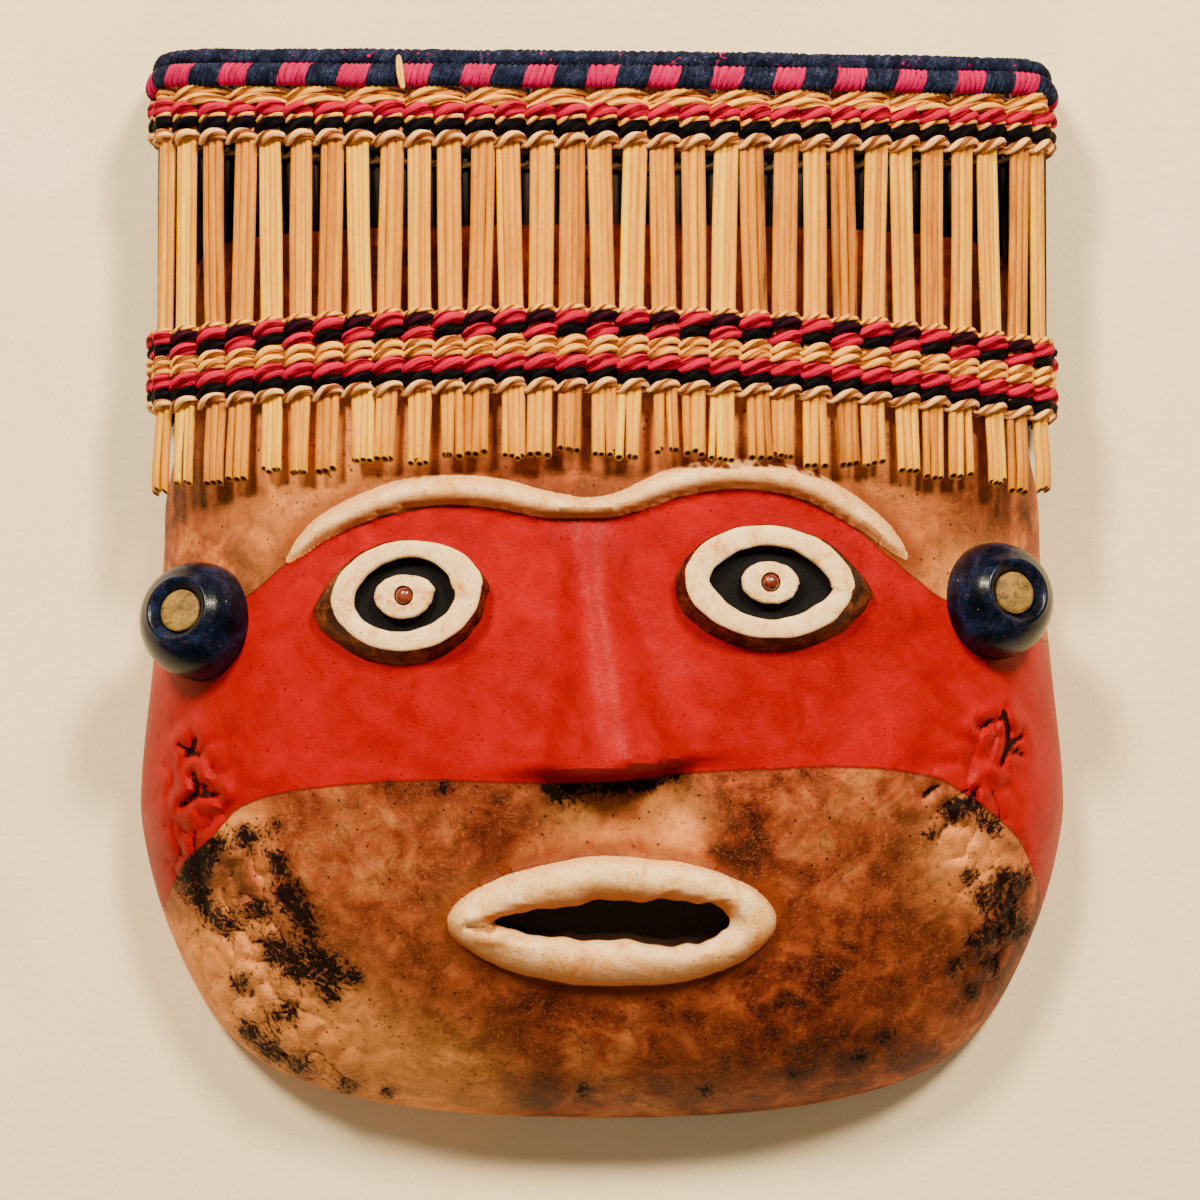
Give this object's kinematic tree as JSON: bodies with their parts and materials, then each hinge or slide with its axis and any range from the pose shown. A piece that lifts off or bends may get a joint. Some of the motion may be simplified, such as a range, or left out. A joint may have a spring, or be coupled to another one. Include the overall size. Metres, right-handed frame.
{
  "type": "gourd face mask",
  "caption": "Painted gourd face mask with cream brow, eyes and lips, round lacquered ear plugs and a twined reed crown.",
  "frame": {"origin": "middle of the mask's underside, on the surface it lies on", "axes": "+Y from the chin to the crown, +Z out of the face, +X to the right as one looks at the face"},
  "size_m": [0.2198, 0.2516, 0.0731],
  "materials": {
    "painted_gourd": "red and cream paint over dried gourd, satin",
    "cream_gourd": "cream paint over gourd, satin",
    "brown_bead": "polished",
    "blue_black_lacquer": "glossy lacquer",
    "yellow_inlay": "matt",
    "tan_reed": "natural, slightly shiny",
    "dark_reed": "blackened, matt",
    "twined_cord": "red, black and tan twined cords, matt",
    "navy_pink_cord": "navy cord wrapping with pink stretches, matt",
    "navy_cord": "navy cord wrapping, matt"
  },
  "bodies": {
    "root": {"gourd_shell": "painted_gourd", "eye_left": "cream_gourd", "eye_right": "cream_gourd", "pupil_left": "brown_bead", "pupil_right": "brown_bead", "ear_plug_left": "blue_black_lacquer", "ear_plug_right": "blue_black_lacquer", "plug_centre_left": "yellow_inlay", "plug_centre_right": "yellow_inlay", "crown_back": "dark_reed", "mid_band": "twined_cord", "top_band": "twined_cord", "rim_roll_front": "navy_pink_cord", "rim_roll_top": "navy_cord", "reed_bundle_01": "tan_reed", "reed_bundle_02": "tan_reed", "reed_bundle_03": "tan_reed", "reed_bundle_04": "tan_reed", "reed_bundle_05": "tan_reed", "reed_bundle_06": "tan_reed", "reed_bundle_07": "tan_reed", "reed_bundle_08": "tan_reed", "reed_bundle_09": "tan_reed", "reed_bundle_10": "tan_reed", "reed_bundle_11": "tan_reed", "reed_bundle_12": "tan_reed", "reed_bundle_13": "tan_reed", "reed_bundle_14": "tan_reed", "reed_bundle_15": "tan_reed", "reed_bundle_16": "tan_reed", "reed_bundle_17": "tan_reed", "reed_bundle_18": "tan_reed", "reed_bundle_19": "tan_reed", "reed_bundle_20": "tan_reed", "reed_bundle_21": "tan_reed", "reed_bundle_22": "tan_reed", "reed_bundle_23": "tan_reed", "reed_bundle_24": "tan_reed", "reed_bundle_25": "tan_reed", "reed_bundle_26": "tan_reed", "reed_bundle_27": "tan_reed", "reed_bundle_28": "tan_reed", "reed_bundle_29": "tan_reed", "reed_bundle_30": "tan_reed", "reed_bundle_31": "tan_reed"}
  },
  "joints": []
}
